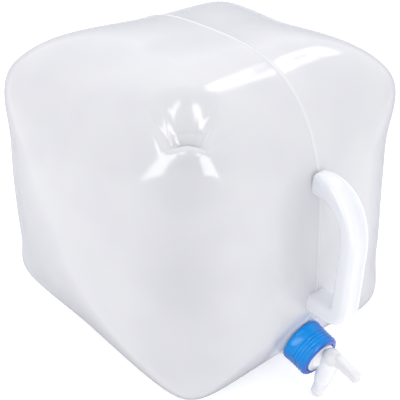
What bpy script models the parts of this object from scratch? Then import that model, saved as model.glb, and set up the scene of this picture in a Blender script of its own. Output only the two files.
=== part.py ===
# Collapsible water carrier: a blow moulded cube with a carry handle, a threaded neck and a screw-on tap.
# Lengths are in metres and +Z is up. The origin is the middle of the base, on the parting plane (X = 0).
# The handle and the neck are on the front, -Y. The half on -X folds into the half on +X.

import math

import bmesh
import bpy
from mathutils import Matrix, Vector

# Container: a rounded cube, measured from the parting plane and from the middle of its height
half_height = 0.147
folding_depth = 0.1505
receiving_depth = 0.1426
half_length = 0.1483
wall = 0.0008
base_flat_share = 0.995
widen_share = 0.046
lean_share = 0.085
draft_share = 0.053
end_rim_share = 0.81

# A filled carrier is rounder halfway up its edges than at its corners, so the exponents of its
# outline run from one value to another. Its ends and its top stand out a little in the middle.
plan_exponent = 3.68
plan_corner_exponent = 10.7
side_exponent = 3.20
side_corner_exponent = 3.64
end_crown_share = 0.070
top_crown_share = 0.025

# The upright edge between the folding end and the front leans in, most at its top corner
corner_inset = 0.046
corner_reach = 0.010
corner_sink = 0.010

# Grid of the skin, closer towards the corners
skin_segments = 14
skin_crowding = 1.6

# Gaps between pieces that touch or run on each other
seat_gap = 0.0003
running_gap = 0.0003
cut_overrun = 0.004

# Points closer than this are one point
weld_distance = 0.00001

# Carry handle, a flattened bar bent to a D. It reaches out from the front wall, and goes from
# a clearance over the screw ring to a height over the middle of the container.
handle_reach = 0.0418
handle_width = 0.0231
handle_bar = 0.0147
handle_edge = 0.0063
handle_top = 0.0693
handle_top_root = 0.0189
handle_clearance = 0.0203
handle_bottom_root = 0.0168
handle_arch_height = 0.0546
handle_arch_depth = 0.0430
handle_heel = 0.0179
handle_inner_height = 0.0273
handle_inner_depth = 0.0221
handle_inner_corner = 0.0042
handle_bevel_segments = 3
handle_curve_steps = 5

# Neck: a 38 mm screw neck that dips below the horizontal
neck_dip = math.radians(13.6)
neck_height = 0.0458
neck_setback = 0.0083
neck_radius = 0.0171
neck_wall = 0.0021
neck_length = 0.0180
neck_shoulder_radius = 0.0193
neck_shoulder_gap = 0.0009
neck_boss_profile = [(0.0260, 0.0090), (0.0290, 0.0180)]
neck_steps = 40
fold_margin = 0.0028

# Flat land that the wall makes round the neck, and how far out it fades
land_depth = 0.0012
land_radius = 0.0230
land_fade = 0.0250

# Screw thread shared by the neck and the ring
thread_pitch = 0.0042
thread_height = 0.0013
thread_root_width = 0.0019
thread_crest_width = 0.0008
thread_sink = 0.0004
neck_thread_start = 0.0065
neck_thread_turns = 1.5
ring_thread_turns = 1.5
thread_steps_per_turn = 40

# Screw ring
ring_length = 0.0252
ring_radius = 0.0210
ring_wall = 0.0021
ring_web = 0.0023
ring_opening_radius = 0.0150
ring_band_radius = 0.0214
ring_band_length = 0.0032
ring_rib_count = 4
ring_rib_height = 0.0007
ring_rib_pitch = 0.0038
ring_lip_radius = 0.0034
ring_lip_steps = 4

# Sealing washer
washer_thickness = 0.0019
washer_inner_radius = 0.0126

# Tap body, held by its flange inside the ring
flange_thickness = 0.0021
flange_clearance = 0.0006
stem_radius = 0.0067
stem_bore_radius = 0.0045
spigot_radius = 0.0116
spigot_length = 0.0032
barrel_clearance = 0.0015
barrel_radius = 0.0084
barrel_top = 0.0091
barrel_bottom = 0.0158
barrel_wall = 0.0014
spout_length = 0.0362
spout_radius = 0.0061
spout_wall = 0.0014
spout_taper = 0.0116
plug_seat_depth = 0.0145
tap_steps = 32

# Plug that turns in the barrel, with its lever
plug_wall = 0.0021
plug_port_radius = 0.0040
plug_head_height = 0.0095
plug_dome_height = 0.0037
plug_dome_steps = 4
plug_bead_height = 0.0005
plug_bead_width = 0.0013
plug_bead_place = 0.0118
lever_reach = 0.0305
lever_width = 0.0084
lever_root_height = 0.0071
lever_tip_height = 0.0095
lever_edge = 0.0019

# Round seal on the plug
seal_section_radius = 0.0006
seal_groove_depth = 0.0016
seal_groove_width = 0.0020
seal_place = 0.0063
seal_section_steps = 10

# Places worked out from the sizes above
base_drop = base_flat_share * half_height
front_wall = -half_length
neck_back = Vector((0, front_wall + neck_setback, neck_height))
neck_way = Vector((0, -math.cos(neck_dip), -math.sin(neck_dip)))
neck_boss_radius, neck_boss_depth = neck_boss_profile[-1]
fold_line = neck_boss_radius + fold_margin
end_rim = end_rim_share * folding_depth
ring_inner_radius = ring_radius - ring_wall
ring_cavity = ring_length - ring_web
flange_radius = ring_inner_radius - thread_height - flange_clearance
flange_front = ring_cavity - running_gap
flange_back = flange_front - flange_thickness
washer_front = flange_back - seat_gap
barrel_place = ring_length + barrel_clearance + barrel_radius
barrel_bore_radius = barrel_radius - barrel_wall
outlet_radius = spout_radius - spout_wall
plug_radius = barrel_bore_radius - running_gap
plug_bore_radius = plug_radius - plug_wall


def clear_scene():
    for item in list(bpy.data.objects):
        bpy.data.objects.remove(item, do_unlink=True)
    for group in list(bpy.data.collections):
        bpy.data.collections.remove(group)


def new_collection(name):
    group = bpy.data.collections.new(name)
    bpy.context.scene.collection.children.link(group)
    return group


def plastic(name, color, roughness, alpha=1.0):
    material = bpy.data.materials.new(name)
    material.use_nodes = True
    shader = material.node_tree.nodes["Principled BSDF"]
    shader.inputs["Base Color"].default_value = (*color, 1.0)
    shader.inputs["Roughness"].default_value = roughness
    shader.inputs["Metallic"].default_value = 0.0
    shader.inputs["Alpha"].default_value = alpha
    return material


clear_scene()
carrier = new_collection("collapsible_water_carrier")
cutters = new_collection("cutters")

milky_plastic = plastic("milky_polyethylene", (0.86, 0.88, 0.90), 0.30, 0.6)
handle_plastic = plastic("white_polyethylene", (0.90, 0.91, 0.94), 0.32)
blue_plastic = plastic("blue_polypropylene", (0.015, 0.22, 0.62), 0.22)
tap_plastic = plastic("white_polypropylene", (0.90, 0.90, 0.91), 0.30)
seal_rubber = plastic("black_rubber", (0.03, 0.03, 0.03), 0.60)
washer_rubber = plastic("white_silicone", (0.80, 0.80, 0.78), 0.50)


def add_part(name, mesh, material, frame=None):
    part = bpy.data.objects.new(name, mesh)
    mesh.materials.append(material)
    part.parent = frame
    carrier.objects.link(part)
    return part


def add_cutter(name, mesh, frame=None):
    cutter = bpy.data.objects.new(name, mesh)
    cutter.parent = frame
    cutter.hide_render = True
    cutter.display_type = "WIRE"
    cutters.objects.link(cutter)
    return cutter


def combine(part, other, operation):
    step = part.modifiers.new(other.name, "BOOLEAN")
    step.operation = operation
    step.solver = "EXACT"
    step.object = other
    return step


def mesh_from(bm, name):
    mesh = bpy.data.meshes.new(name)
    bm.to_mesh(mesh)
    bm.free()
    return mesh


def profile_mesh(name, points, closed):
    """Edges of a turned profile, from (radius, height) points running down the outer side."""
    edges = [(i, i + 1) for i in range(len(points) - 1)]
    if closed:
        edges.append((len(points) - 1, 0))
    mesh = bpy.data.meshes.new(name)
    mesh.from_pydata([(radius, 0, height) for radius, height in points], edges, [])
    return mesh


def turn(part, steps):
    step = part.modifiers.new("Turn", "SCREW")
    step.steps = steps
    step.render_steps = steps
    step.use_merge_vertices = True
    step.merge_threshold = weld_distance
    return step


# The two axes that the closure turns on, each carried by an empty with its local +Z along the axis
def add_frame(name, place, turn_about_x, parent=None):
    frame = bpy.data.objects.new(name, None)
    frame.location = place
    frame.rotation_euler = (turn_about_x, 0, 0)
    frame.parent = parent
    frame.empty_display_size = neck_radius
    carrier.objects.link(frame)
    return frame


neck_axis = add_frame("neck_axis", neck_back, math.pi / 2 + neck_dip)
barrel_axis = add_frame("barrel_axis", (0, 0, barrel_place), -math.pi / 2, neck_axis)


# Container skin
def skin_point(grid_point):
    """Point of the outer skin for a point of a cube that runs from -1 to 1."""
    depth = folding_depth if grid_point.x < 0 else receiving_depth
    shares = [math.copysign(1 - (1 - abs(value)) ** skin_crowding, value) for value in grid_point]
    u, v, w = [abs(share) for share in shares]
    level = max(u * u + v * v, weld_distance)
    to_corner = (1 - (1 - min(2 * w * w / level, 1)) ** 2) ** 4
    to_edge = (2 * u * v / level) ** 2
    plan_power = plan_exponent + (plan_corner_exponent - plan_exponent) * to_corner
    side_power = side_exponent + (side_corner_exponent - side_exponent) * to_edge
    size = (u ** plan_power + v ** plan_power) ** (side_power / plan_power) + w ** side_power
    across, along, rise = [share * size ** (-1 / side_power) for share in shares]
    end_crown = 1 + end_crown_share * (1 - along * along) * (1 - rise * rise)
    top_crown = 1 + top_crown_share * (1 - across * across) * (1 - along * along)
    x = across * depth * end_crown * (1 + widen_share * rise)
    y = along * half_length * (1 - lean_share * rise) * (1 - draft_share * abs(across))
    z = max(rise * half_height * top_crown, -base_drop) + base_drop
    at_corner = (min(across, 0) * min(along, 0)) ** 2 * z / (2 * half_height)
    corner_move = Vector((corner_inset, -corner_reach, -corner_sink)) * at_corner
    return neck_land(Vector((x, y, z)) + corner_move)


def neck_land(point):
    """The same point, moved back along the neck's axis where the wall would stand under the screw ring."""
    from_neck = point - neck_back
    height = from_neck.dot(neck_way)
    radius = (from_neck - height * neck_way).length
    fade = min(max((radius - land_radius) / land_fade, 0), 1)
    kept = fade * fade * (3 - 2 * fade)
    excess = max(height + land_depth, 0) if point.y < 0 else 0
    return point - neck_way * excess * (1 - kept)


def skin_surface(cuts):
    """Closed skin, cut back to the side of each plane given by (place on X, direction to keep)."""
    bm = bmesh.new()
    bmesh.ops.create_cube(bm, size=2)
    bmesh.ops.subdivide_edges(bm, edges=bm.edges[:], cuts=skin_segments - 1, use_grid_fill=True)
    for vertex in bm.verts:
        vertex.co = skin_point(vertex.co)
    for place, keep in cuts:
        bmesh.ops.bisect_plane(
            bm,
            geom=bm.verts[:] + bm.edges[:] + bm.faces[:],
            plane_co=(place, 0, 0),
            plane_no=(keep, 0, 0),
            clear_inner=True,
        )
    bmesh.ops.recalc_face_normals(bm, faces=bm.faces[:])
    return bm


def add_skin_part(name, cuts):
    bm = skin_surface(cuts)
    centre = Vector((0, 0, base_drop))
    outward = sum((face.normal.dot(face.calc_center_median() - centre) for face in bm.faces), 0.0)
    if outward < 0:
        bmesh.ops.reverse_faces(bm, faces=bm.faces[:])
    part = add_part(name, mesh_from(bm, name), milky_plastic)
    part.data.shade_smooth()
    thicken = part.modifiers.new("Wall", "SOLIDIFY")
    thicken.thickness = wall
    thicken.offset = -1
    thicken.use_even_offset = True
    thicken.use_quality_normals = True
    return part


def add_skin_cutter(name, gap):
    """The space inside the skin, grown by a gap, which trims what is moulded onto the wall."""
    bm = skin_surface([])
    bm.normal_update()
    moves = [(vertex, vertex.normal * gap) for vertex in bm.verts]
    for vertex, move in moves:
        vertex.co += move
    return add_cutter(name, mesh_from(bm, name))


half_gap = seat_gap / 2
receiving_half = add_skin_part("receiving_half", [(half_gap - fold_line, 1)])
folding_sleeve = add_skin_part("folding_sleeve", [(-half_gap - fold_line, -1), (half_gap - end_rim, 1)])
folding_end = add_skin_part("folding_end", [(-half_gap - end_rim, -1)])
skin_seat = add_skin_cutter("skin_seat", seat_gap)

bm = bmesh.new()
bmesh.ops.create_cone(
    bm,
    cap_ends=True,
    segments=neck_steps,
    radius1=neck_radius - neck_wall,
    radius2=neck_radius - neck_wall,
    depth=2 * neck_length,
)
neck_opening = add_cutter("neck_opening", mesh_from(bm, "neck_opening"), neck_axis)
combine(receiving_half, neck_opening, "DIFFERENCE")


# Carry handle: the outline of the D in the parting plane, trimmed by the front wall
def handle_points():
    """Bezier points of the outline, as (forward, up, handle before, handle after)."""
    root = front_wall + handle_reach / 2
    face = front_wall - handle_reach
    inner_face = face + handle_bar
    top = base_drop + handle_top
    inner_top = top - handle_top_root
    bottom = neck_height + ring_band_radius + handle_clearance
    inner_bottom = bottom + handle_bottom_root
    round_share = 0.5523
    arch = (handle_arch_depth * round_share, handle_arch_height * round_share)
    heel = handle_heel * round_share
    inner = (handle_inner_depth * round_share, handle_inner_height * round_share)
    corner = handle_inner_corner * round_share
    return [
        ((root, top), (0, 0), (0, 0)),
        ((face + handle_arch_depth, top), (0, 0), (-arch[0], 0)),
        ((face, top - handle_arch_height), (0, arch[1]), (0, 0)),
        ((face, bottom + handle_heel), (0, 0), (0, -heel)),
        ((face + handle_heel, bottom), (-heel, 0), (0, 0)),
        ((root, bottom), (0, 0), (0, 0)),
        ((root, inner_bottom), (0, 0), (0, 0)),
        ((inner_face + handle_inner_corner, inner_bottom), (0, 0), (-corner, 0)),
        ((inner_face, inner_bottom + handle_inner_corner), (0, -corner), (0, 0)),
        ((inner_face, inner_top - handle_inner_height), (0, 0), (0, inner[1])),
        ((inner_face + handle_inner_depth, inner_top), (-inner[0], 0), (0, 0)),
        ((root, inner_top), (0, 0), (0, 0)),
    ]


def flat_outline(name, points, thickness):
    """A closed 2D Bezier outline in its own XY plane, filled and given a thickness, as a mesh."""
    curve = bpy.data.curves.new(name, "CURVE")
    curve.dimensions = "2D"
    curve.fill_mode = "BOTH"
    curve.extrude = thickness / 2
    curve.resolution_u = handle_curve_steps
    spline = curve.splines.new("BEZIER")
    spline.bezier_points.add(len(points) - 1)
    for knot, (place, before, after) in zip(spline.bezier_points, points):
        knot.handle_left_type = "FREE"
        knot.handle_right_type = "FREE"
        knot.co = (*place, 0)
        knot.handle_left = (place[0] + before[0], place[1] + before[1], 0)
        knot.handle_right = (place[0] + after[0], place[1] + after[1], 0)
    spline.use_cyclic_u = True
    drawn = bpy.data.objects.new(name, curve)
    cutters.objects.link(drawn)
    bpy.context.view_layer.update()
    evaluated = drawn.evaluated_get(bpy.context.evaluated_depsgraph_get())
    mesh = bpy.data.meshes.new_from_object(evaluated)
    bpy.data.objects.remove(drawn)
    bpy.data.curves.remove(curve)
    bm = bmesh.new()
    bm.from_mesh(mesh)
    bmesh.ops.remove_doubles(bm, verts=bm.verts[:], dist=weld_distance)
    bmesh.ops.dissolve_limit(bm, angle_limit=math.radians(1), verts=bm.verts[:], edges=bm.edges[:])
    # The outline is drawn with Y forward and Z up, so its plane is turned to stand across X
    bm.transform(Matrix(((0, 0, 1, 0), (1, 0, 0, 0), (0, 1, 0, 0), (0, 0, 0, 1))))
    bmesh.ops.recalc_face_normals(bm, faces=bm.faces[:])
    bm.to_mesh(mesh)
    bm.free()
    mesh.materials.clear()
    return mesh


carry_handle = add_part("carry_handle", flat_outline("carry_handle", handle_points(), handle_width), handle_plastic)
rounding = carry_handle.modifiers.new("Rounding", "BEVEL")
rounding.width = handle_edge
rounding.segments = handle_bevel_segments
rounding.limit_method = "ANGLE"
rounding.angle_limit = math.radians(60)
combine(carry_handle, skin_seat, "DIFFERENCE")


# Screw thread: one ridge, wound on the inside or the outside of a wall
def thread_ridge(name, wall_radius, outward, start, turns, frame):
    """A ridge that stands on a wall of a radius, outwards (1) or inwards (-1), right handed about +Z."""
    foot = wall_radius - outward * thread_sink
    crest = wall_radius + outward * thread_height
    corners = [
        (foot, -thread_root_width / 2),
        (foot, thread_root_width / 2),
        (crest, thread_crest_width / 2),
        (crest, -thread_crest_width / 2),
    ]
    bm = bmesh.new()
    section = bm.faces.new([bm.verts.new((radius, 0, start + height)) for radius, height in corners])
    # Half a step round, so that the ridge's edges fall between the edges of the wall
    half_step = Matrix.Rotation(math.pi / thread_steps_per_turn, 4, "Z")
    bmesh.ops.transform(bm, matrix=half_step, verts=bm.verts[:])
    steps = round(turns * thread_steps_per_turn)
    bmesh.ops.spin(
        bm,
        geom=section.verts[:] + section.edges[:] + [section],
        cent=(0, 0, 0),
        axis=(0, 0, 1),
        dvec=(0, 0, turns * thread_pitch / steps),
        angle=turns * 2 * math.pi,
        steps=steps,
    )
    bmesh.ops.holes_fill(bm, edges=[edge for edge in bm.edges if edge.is_boundary])
    bmesh.ops.recalc_face_normals(bm, faces=bm.faces[:])
    return add_cutter(name, mesh_from(bm, name), frame)


# Neck
neck_bore = neck_radius - neck_wall
neck_profile = [
    (neck_radius, neck_length),
    (neck_radius, -neck_shoulder_gap),
    (neck_shoulder_radius, -neck_shoulder_gap),
]
neck_profile += [(radius, -depth) for radius, depth in neck_boss_profile]
neck_profile += [(neck_bore, -neck_boss_depth), (neck_bore, neck_length)]
threaded_neck = add_part(
    "threaded_neck", profile_mesh("threaded_neck", neck_profile, True), milky_plastic, neck_axis
)
turn(threaded_neck, neck_steps)
neck_thread = thread_ridge("neck_thread", neck_radius, 1, neck_thread_start, neck_thread_turns, neck_axis)
combine(threaded_neck, neck_thread, "UNION")
combine(threaded_neck, skin_seat, "DIFFERENCE")


# Screw ring, its back rim at the neck frame's origin
def ring_profile():
    lip_centre = (ring_radius - ring_lip_radius, ring_length - ring_lip_radius)
    points = [(ring_opening_radius, ring_length)]
    for i in range(ring_lip_steps + 1):
        angle = math.pi / 2 * (1 - i / ring_lip_steps)
        points.append((
            lip_centre[0] + ring_lip_radius * math.cos(angle),
            lip_centre[1] + ring_lip_radius * math.sin(angle),
        ))
    rib_top = ring_length - ring_lip_radius - ring_rib_pitch / 4
    for i in range(ring_rib_count):
        height = rib_top - i * ring_rib_pitch
        groove = ring_radius - ring_rib_height
        points += [
            (ring_radius, height),
            (groove, height - ring_rib_pitch / 4),
            (groove, height - ring_rib_pitch / 2),
            (ring_radius, height - ring_rib_pitch * 3 / 4),
        ]
    points += [
        (ring_radius, ring_band_length + ring_rib_height),
        (ring_band_radius, ring_band_length),
        (ring_band_radius, 0),
        (ring_inner_radius, 0),
        (ring_inner_radius, ring_cavity),
        (ring_opening_radius, ring_cavity),
    ]
    return points


screw_ring = add_part("screw_ring", profile_mesh("screw_ring", ring_profile(), True), blue_plastic, neck_axis)
turn(screw_ring, neck_steps)
ring_thread_start = neck_thread_start - thread_pitch / 2
ring_thread = thread_ridge(
    "ring_thread", ring_inner_radius, -1, ring_thread_start, ring_thread_turns, neck_axis
)
combine(screw_ring, ring_thread, "UNION")

# Sealing washer between the neck's mouth and the tap's flange
washer_profile = [
    (flange_radius, washer_front),
    (flange_radius, washer_front - washer_thickness),
    (washer_inner_radius, washer_front - washer_thickness),
    (washer_inner_radius, washer_front),
]
sealing_washer = add_part(
    "sealing_washer", profile_mesh("sealing_washer", washer_profile, True), washer_rubber, neck_axis
)
turn(sealing_washer, neck_steps)

# Tap body: a flange and stem on the neck's axis, and a barrel that runs down into the spout
stem_back = flange_back - spigot_length
stem_front = barrel_place - barrel_bore_radius / 2
stem_profile = [
    (0, stem_front),
    (stem_radius, stem_front),
    (stem_radius, flange_front),
    (flange_radius, flange_front),
    (flange_radius, flange_back),
    (spigot_radius, flange_back),
    (spigot_radius, stem_back),
    (0, stem_back),
]
tap_body = add_part("tap_body", profile_mesh("tap_body", stem_profile, False), tap_plastic, neck_axis)
turn(tap_body, tap_steps)

barrel_profile = [
    (0, barrel_top),
    (barrel_radius, barrel_top),
    (barrel_radius, -barrel_bottom),
    (spout_radius, -barrel_bottom - spout_taper),
    (spout_radius, -spout_length),
    (0, -spout_length),
]
barrel_solid = add_cutter("barrel_solid", profile_mesh("barrel_solid", barrel_profile, False), barrel_axis)
turn(barrel_solid, tap_steps)

bead_radius = plug_radius + plug_bead_height
bead_groove_radius = bead_radius + running_gap
bead_groove_half = plug_bead_width / 2 + running_gap
hollow_profile = [
    (0, barrel_top + cut_overrun),
    (barrel_bore_radius, barrel_top + cut_overrun),
    (barrel_bore_radius, bead_groove_half + plug_bead_height - plug_bead_place),
    (bead_groove_radius, bead_groove_half - plug_bead_place),
    (bead_groove_radius, -bead_groove_half - plug_bead_place),
    (barrel_bore_radius, -bead_groove_half - plug_bead_height - plug_bead_place),
    (barrel_bore_radius, -plug_seat_depth),
    (outlet_radius, -plug_seat_depth),
    (outlet_radius, -spout_length - cut_overrun),
    (0, -spout_length - cut_overrun),
]
barrel_hollow = add_cutter("barrel_hollow", profile_mesh("barrel_hollow", hollow_profile, False), barrel_axis)
turn(barrel_hollow, tap_steps)

stem_hollow_profile = [
    (0, stem_front),
    (stem_bore_radius, stem_front),
    (stem_bore_radius, stem_back - cut_overrun),
    (0, stem_back - cut_overrun),
]
stem_hollow = add_cutter("stem_hollow", profile_mesh("stem_hollow", stem_hollow_profile, False), neck_axis)
turn(stem_hollow, tap_steps)
combine(barrel_hollow, stem_hollow, "UNION")
combine(tap_body, barrel_solid, "UNION")
combine(tap_body, barrel_hollow, "DIFFERENCE")

# Plug: a domed head above the barrel, and a hollow shaft with one side port. It is shut as it stands.
head_bottom = barrel_top + running_gap
head_top = head_bottom + plug_head_height
dome_foot = head_top - plug_dome_height
seal_radius = plug_radius - seal_groove_depth
groove_top = seal_place + seal_groove_width / 2
groove_bottom = seal_place - seal_groove_width / 2
bead_half = plug_bead_width / 2
plug_bottom = running_gap - plug_seat_depth
dome_points = []
for i in range(plug_dome_steps + 1):
    angle = math.pi / 2 * i / plug_dome_steps
    dome_points.append((barrel_radius * math.sin(angle), dome_foot + plug_dome_height * math.cos(angle)))
plug_profile = dome_points + [
    (barrel_radius, head_bottom),
    (plug_radius, head_bottom),
    (plug_radius, groove_top),
    (seal_radius, groove_top),
    (seal_radius, groove_bottom),
    (plug_radius, groove_bottom),
    (plug_radius, bead_half + plug_bead_height - plug_bead_place),
    (bead_radius, bead_half - plug_bead_place),
    (bead_radius, -bead_half - plug_bead_place),
    (plug_radius, -bead_half - plug_bead_height - plug_bead_place),
    (plug_radius, plug_bottom),
    (plug_bore_radius, plug_bottom),
    (plug_bore_radius, groove_bottom - plug_wall),
    (0, groove_bottom - plug_wall),
]
lever_plug = add_part("lever_plug", profile_mesh("lever_plug", plug_profile, False), tap_plastic, barrel_axis)
turn(lever_plug, tap_steps)

bm = bmesh.new()
bmesh.ops.create_cube(bm, size=1)
lever_middle = head_bottom + lever_tip_height / 2
for vertex in bm.verts:
    at_tip = vertex.co.y < 0
    height = lever_tip_height if at_tip else lever_root_height
    vertex.co = Vector((
        vertex.co.x * lever_width,
        -lever_reach if at_tip else -plug_bore_radius,
        lever_middle + vertex.co.z * height,
    ))
lever_blade = add_cutter("lever_blade", mesh_from(bm, "lever_blade"), barrel_axis)
rounding = lever_blade.modifiers.new("Rounding", "BEVEL")
rounding.width = lever_edge
rounding.segments = 2
combine(lever_plug, lever_blade, "UNION")

bm = bmesh.new()
bmesh.ops.create_cone(
    bm,
    cap_ends=True,
    segments=tap_steps,
    radius1=plug_port_radius,
    radius2=plug_port_radius,
    depth=2 * barrel_radius,
    matrix=Matrix.Translation((barrel_radius, 0, 0)) @ Matrix.Rotation(math.pi / 2, 4, "Y"),
)
plug_port = add_cutter("plug_port", mesh_from(bm, "plug_port"), barrel_axis)
combine(lever_plug, plug_port, "DIFFERENCE")

# Round seal in the plug's groove
bpy.ops.mesh.primitive_torus_add(
    major_radius=seal_radius + running_gap + seal_section_radius,
    minor_radius=seal_section_radius,
    major_segments=tap_steps,
    minor_segments=seal_section_steps,
)
plug_seal = bpy.context.object
plug_seal.name = "plug_seal"
plug_seal.data.materials.append(seal_rubber)
plug_seal.data.shade_smooth()
plug_seal.parent = barrel_axis
plug_seal.location = (0, 0, seal_place)
for group in plug_seal.users_collection:
    group.objects.unlink(plug_seal)
carrier.objects.link(plug_seal)

bpy.context.view_layer.update()
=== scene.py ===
import math

import bpy
import numpy as np
from mathutils import Matrix, Vector
from mathutils.bvhtree import BVHTree


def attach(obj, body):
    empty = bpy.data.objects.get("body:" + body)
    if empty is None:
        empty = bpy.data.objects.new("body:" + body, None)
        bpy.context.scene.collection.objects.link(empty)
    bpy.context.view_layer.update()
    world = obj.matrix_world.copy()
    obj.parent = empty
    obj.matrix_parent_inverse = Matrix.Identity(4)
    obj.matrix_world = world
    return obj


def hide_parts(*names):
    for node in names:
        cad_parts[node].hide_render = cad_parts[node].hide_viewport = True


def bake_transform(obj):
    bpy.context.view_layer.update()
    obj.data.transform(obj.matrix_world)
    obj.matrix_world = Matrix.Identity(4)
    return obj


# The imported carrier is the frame, and everything below is made around it
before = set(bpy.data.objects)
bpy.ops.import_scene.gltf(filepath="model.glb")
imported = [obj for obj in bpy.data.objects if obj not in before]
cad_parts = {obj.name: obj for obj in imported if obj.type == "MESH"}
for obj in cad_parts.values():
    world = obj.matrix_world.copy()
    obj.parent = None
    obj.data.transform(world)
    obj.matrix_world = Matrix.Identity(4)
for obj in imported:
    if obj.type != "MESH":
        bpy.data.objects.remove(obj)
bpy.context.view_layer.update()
print("frame loaded")

# Camera at the photograph's angle: the carrier's near upright edge faces it, seen from above
camera = {
    "place": (-0.44667, -0.50001, 0.50726),
    "right": (0.7566, -0.6533, 0.0273),
    "up": (0.3045, 0.3890, 0.8695),
    "lens": 72.4,       # mm on a 36 mm wide sensor
    "sensor": 36.0,
    "shift": -0.0028,   # a share of the picture's width
    "reach": (0.01, 40),
}

# Screw axis of the closure: out of the front wall and a little down
neck = {
    "place": (0, -0.1400, 0.0458),
    "dip": math.radians(13.6),
}
neckAxis = np.array([0, -math.cos(neck["dip"]), -math.sin(neck["dip"])])
barrelPlace = 0.0351    # the plug's axis crosses the screw axis this far out


# Small helpers
def deselectAll():
    if bpy.context.object and bpy.context.object.mode != "OBJECT":
        bpy.ops.object.mode_set(mode="OBJECT")
    bpy.ops.object.select_all(action="DESELECT")


def pick(obj):
    deselectAll()
    obj.select_set(True)
    bpy.context.view_layer.objects.active = obj


def applyModifier(obj, kind, name, **settings):
    pick(obj)
    step = obj.modifiers.new(name, kind)
    for key, value in settings.items():
        setattr(step, key, value)
    bpy.ops.object.modifier_apply(modifier=name)


def getPoints(obj):
    points = np.empty(len(obj.data.vertices) * 3)
    obj.data.vertices.foreach_get("co", points)
    return points.reshape(-1, 3)


def setPoints(obj, points):
    obj.data.vertices.foreach_set("co", np.ascontiguousarray(points).ravel())
    obj.data.update()


def pointNormals(obj):
    normals = np.empty(len(obj.data.vertices) * 3)
    obj.data.vertex_normals.foreach_get("vector", normals)
    return normals.reshape(-1, 3)


def cleanFaces(obj, merge=0.00001):
    pick(obj)
    bpy.ops.object.mode_set(mode="EDIT")
    bpy.ops.mesh.select_all(action="SELECT")
    bpy.ops.mesh.remove_doubles(threshold=merge)
    bpy.ops.mesh.normals_make_consistent(inside=False)
    bpy.ops.object.mode_set(mode="OBJECT")


# Leaves the piece in edit mode, with only the chosen faces selected
def selectFaces(obj, chosen):
    pick(obj)
    bpy.ops.object.mode_set(mode="EDIT")
    bpy.ops.mesh.select_mode(type="FACE")
    bpy.ops.mesh.select_all(action="DESELECT")
    bpy.ops.object.mode_set(mode="OBJECT")
    obj.data.polygons.foreach_set("select", chosen)
    bpy.ops.object.mode_set(mode="EDIT")


def shade(obj, angle):
    pick(obj)
    bpy.ops.object.shade_smooth_by_angle(angle=math.radians(angle))


def smoothStep(low, high, values):
    t = np.clip((values - low) / (high - low), 0, 1)
    return t * t * (3 - 2 * t)


neckTurn = Matrix.Translation(neck["place"]) @ Matrix.Rotation(math.pi / 2 + neck["dip"], 4, "X")
barrelTurn = neckTurn @ Matrix.Translation((0, 0, barrelPlace)) @ Matrix.Rotation(-math.pi / 2, 4, "X")


# A piece is placed by its points, so that its object stays at the origin
def putOn(obj, turn):
    obj.data.transform(turn)
    obj.data.update()


# A turned piece: a circle pulled through the rings of a profile of (radius, height)
def turned(name, profile, steps, closed=False):
    deselectAll()
    radius, height = profile[0]
    bpy.ops.mesh.primitive_circle_add(vertices=steps, radius=radius, location=(0, 0, height))
    obj = bpy.context.object
    obj.name = name
    bpy.ops.object.transform_apply(location=True, rotation=True, scale=True)
    bpy.ops.object.mode_set(mode="EDIT")
    bpy.ops.mesh.select_all(action="SELECT")
    stops = profile[1:] + ([profile[0]] if closed else [])
    for nextRadius, nextHeight in stops:
        bpy.ops.mesh.extrude_edges_move(TRANSFORM_OT_translate={"value": (0, 0, nextHeight - height)})
        share = nextRadius / radius
        bpy.ops.transform.resize(value=(share, share, 1), center_override=(0, 0, 0))
        radius, height = nextRadius, nextHeight
    if not closed:
        bpy.ops.mesh.edge_face_add()
    bpy.ops.object.mode_set(mode="OBJECT")
    return obj


# Fills the open rims that a mesh still has
def closeRims(obj):
    pick(obj)
    bpy.ops.object.mode_set(mode="EDIT")
    bpy.ops.mesh.select_all(action="DESELECT")
    bpy.ops.mesh.select_mode(type="EDGE")
    bpy.ops.mesh.select_non_manifold()
    bpy.ops.mesh.edge_face_add()
    bpy.ops.object.mode_set(mode="OBJECT")


# Takes a round rod out of a piece. The rod stands on its own axis from one height to the other, and is
# then turned into its place.
def cutRod(obj, name, radius, low, high, steps, turn):
    deselectAll()
    bpy.ops.mesh.primitive_cylinder_add(vertices=steps, radius=radius, depth=high - low,
                                        location=(0, 0, (low + high) / 2))
    rod = bpy.context.object
    bpy.ops.object.transform_apply(location=True, rotation=True, scale=True)
    putOn(rod, turn)
    applyModifier(obj, "BOOLEAN", name, operation="DIFFERENCE", solver="EXACT", object=rod)
    bpy.data.objects.remove(rod)


# Materials: colours are sRGB hex, and one function turns them to linear
def hexColor(code):
    parts = [int(code[i:i + 2], 16) / 255 for i in (1, 3, 5)]
    return (*[c / 12.92 if c <= 0.04045 else ((c + 0.055) / 1.055) ** 2.4 for c in parts], 1.0)


def addNode(tree, kind, settings=None, inputs=None, links=None):
    node = tree.nodes.new(kind)
    for key, value in (settings or {}).items():
        setattr(node, key, value)
    for key, value in (inputs or {}).items():
        node.inputs[key].default_value = value
    for key, source in (links or {}).items():
        tree.links.new(source, node.inputs[key])
    return node


def startMaterial(name):
    material = bpy.data.materials.new(name)
    material.use_nodes = True
    tree = material.node_tree
    shader = tree.nodes["Principled BSDF"]
    coords = addNode(tree, "ShaderNodeTexCoord")
    return material, tree, shader, coords.outputs["Object"]


def setShader(shader, **values):
    names = {"color": "Base Color", "rough": "Roughness", "ior": "IOR", "deep": "Subsurface Weight",
             "deepScale": "Subsurface Scale", "deepRadius": "Subsurface Radius",
             "shine": "Specular IOR Level"}
    for key, value in values.items():
        shader.inputs[names[key]].default_value = value


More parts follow.
